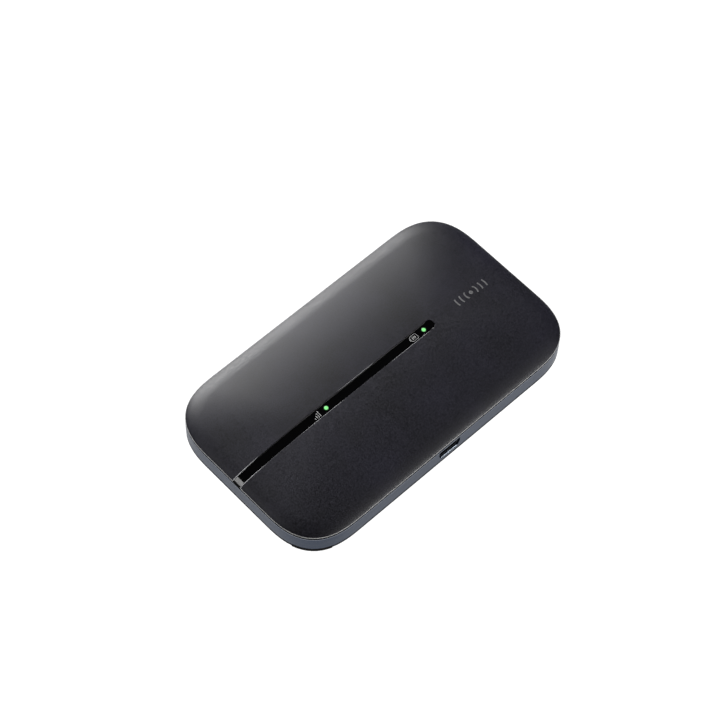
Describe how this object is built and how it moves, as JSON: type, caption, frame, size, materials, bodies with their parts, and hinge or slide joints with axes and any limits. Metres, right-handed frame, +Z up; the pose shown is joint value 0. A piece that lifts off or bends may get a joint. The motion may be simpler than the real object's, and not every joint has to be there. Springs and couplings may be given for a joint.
{
  "type": "mobile hotspot",
  "caption": "Pocket mobile hotspot: pillow-shaped radio case with a grooved light strip, end power button, side charging port, removable back cover and lift-out battery.",
  "frame": {"origin": "centre of the resting face, on the surface that the object lies on", "axes": "+X along the length, away from the groove's open end and the power button; -Y towards the charging port; +Z up through the grooved top cover"},
  "size_m": [0.1, 0.0578, 0.0138],
  "materials": {
    "charcoal_plastic": "matte, fine moulded grain",
    "piano_black": "high gloss",
    "button_black": "satin gloss",
    "slate_plastic": "satin, faint metallic fleck",
    "navy_plastic": "matte",
    "green_lens": "clear green, lit",
    "lamp_white": "satin",
    "black_rubber": "matte",
    "board_green": "solder mask",
    "tinned_steel": "bright tin",
    "chip_black": "moulded epoxy",
    "contact_gold": "gold flash",
    "graphite": "graphite film",
    "cell_foil": "wrapped cell",
    "screw_zinc": "black zinc",
    "port_plastic": "moulded",
    "aerial_copper": "plated film"
  },
  "bodies": {
    "housing": {"top_cover": "charcoal_plastic", "indicator_strip": "piano_black", "mid_frame": "slate_plastic", "main_board": "board_green", "modem_shield_can": "tinned_steel", "radio_shield_can": "tinned_steel", "power_shield_can": "tinned_steel", "usb_shell": "tinned_steel", "usb_tongue": "port_plastic", "card_cage": "tinned_steel", "terminal_block": "port_plastic", "power_switch_body": "chip_black", "reset_switch_body": "chip_black", "aerial_carrier": "port_plastic", "screw_1": "screw_zinc", "screw_2": "screw_zinc", "screw_3": "screw_zinc", "screw_4": "screw_zinc", "screw_5": "screw_zinc", "screw_6": "screw_zinc", "signal_lamp": "lamp_white", "battery_lamp": "lamp_white", "signal_light_boot": "black_rubber", "battery_light_boot": "black_rubber", "signal_light_pipe": "green_lens", "battery_light_pipe": "green_lens", "modem_chip": "chip_black", "memory_chip": "chip_black", "radio_chip": "chip_black", "power_chip": "chip_black", "heat_spreader": "graphite", "terminal_spring_1": "contact_gold", "terminal_spring_2": "contact_gold", "terminal_spring_3": "contact_gold", "card_contact_base": "port_plastic", "main_aerial": "aerial_copper", "second_aerial": "aerial_copper", "wifi_aerial": "aerial_copper"},
    "power_key": {"power_button": "button_black", "power_switch_plunger": "port_plastic"},
    "reset_key": {"reset_plunger": "port_plastic"},
    "rear_cover": {"back_cover": "navy_plastic"},
    "battery": {"battery_pack": "cell_foil", "battery_terminals": "contact_gold"}
  },
  "joints": [
    {"name": "power_press", "type": "slide", "parent": "housing", "child": "power_key", "axis": [1, 0, 0], "range_m": [0, 0.00025], "stiffness_N_per_m": 1000, "springref_m": -0.0008},
    {"name": "reset_press", "type": "slide", "parent": "housing", "child": "reset_key", "axis": [0, 0, 1], "range_m": [0, 0.00025], "stiffness_N_per_m": 1000, "springref_m": -0.0006},
    {"name": "cover_release", "type": "slide", "parent": "housing", "child": "rear_cover", "axis": [0, 0, -1], "range_m": [0, 0.03]},
    {"name": "battery_release", "type": "slide", "parent": "housing", "child": "battery", "axis": [0, 0, -1], "range_m": [0, 0.015]}
  ],
  "couplings": [
    {"joint": "battery_release", "follows": "cover_release", "ratio": 0.5}
  ]
}
